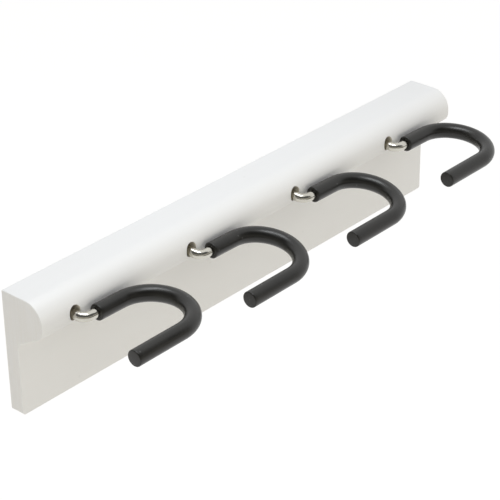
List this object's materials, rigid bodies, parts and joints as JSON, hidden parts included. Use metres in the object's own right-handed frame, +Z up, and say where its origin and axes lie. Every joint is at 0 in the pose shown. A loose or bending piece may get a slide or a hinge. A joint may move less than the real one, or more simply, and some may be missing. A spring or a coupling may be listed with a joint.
{
  "type": "wall mop holder rack",
  "caption": "Wall rack for mops and brooms: a white moulded rail whose rubber-sleeved steel J hooks hinge in upright slots, with keyhole hangers behind.",
  "frame": {"origin": "On the wall plane at the rail's back, midway between the entry holes of the two keyhole hangers", "axes": "+X along the rail to the right seen from the room, +Y into the wall, +Z up"},
  "size_m": [0.405, 0.098, 0.086],
  "materials": {
    "white_paint": "white satin enamel on timber",
    "rod_nickel": "bright nickel plate",
    "black_rubber": "matte black vinyl-like sleeve",
    "zinc_plate": "zinc plated sheet",
    "screw_zinc": "zinc plated"
  },
  "bodies": {
    "rack": {"rail": "white_paint", "hinge_strap_1": "zinc_plate", "strap_screws_1": "screw_zinc", "hinge_strap_2": "zinc_plate", "strap_screws_2": "screw_zinc", "hinge_strap_3": "zinc_plate", "strap_screws_3": "screw_zinc", "hinge_strap_4": "zinc_plate", "strap_screws_4": "screw_zinc", "keyhole_plate_left": "zinc_plate", "keyhole_plate_right": "zinc_plate", "keyhole_screws_left": "screw_zinc", "keyhole_screws_right": "screw_zinc"},
    "hook_1": {"hook_rod_1": "rod_nickel", "grip_sleeve_1": "black_rubber"},
    "hook_2": {"hook_rod_2": "rod_nickel", "grip_sleeve_2": "black_rubber"},
    "hook_3": {"hook_rod_3": "rod_nickel", "grip_sleeve_3": "black_rubber"},
    "hook_4": {"hook_rod_4": "rod_nickel", "grip_sleeve_4": "black_rubber"}
  },
  "joints": [
    {"name": "hook_1_flap", "type": "hinge", "parent": "rack", "child": "hook_1", "pos_m": [-0.167, -0.00568, 0.01317], "axis": [-1, 0, 0], "range_deg": [0, 6]},
    {"name": "hook_2_flap", "type": "hinge", "parent": "rack", "child": "hook_2", "pos_m": [-0.065, -0.00568, 0.01665], "axis": [-1, 0, 0], "range_deg": [0, 6]},
    {"name": "hook_3_flap", "type": "hinge", "parent": "rack", "child": "hook_3", "pos_m": [0.037, -0.00568, 0.01665], "axis": [-1, 0, 0], "range_deg": [0, 6]},
    {"name": "hook_4_flap", "type": "hinge", "parent": "rack", "child": "hook_4", "pos_m": [0.139, -0.00568, 0.01418], "axis": [-1, 0, 0], "range_deg": [0, 6]}
  ]
}
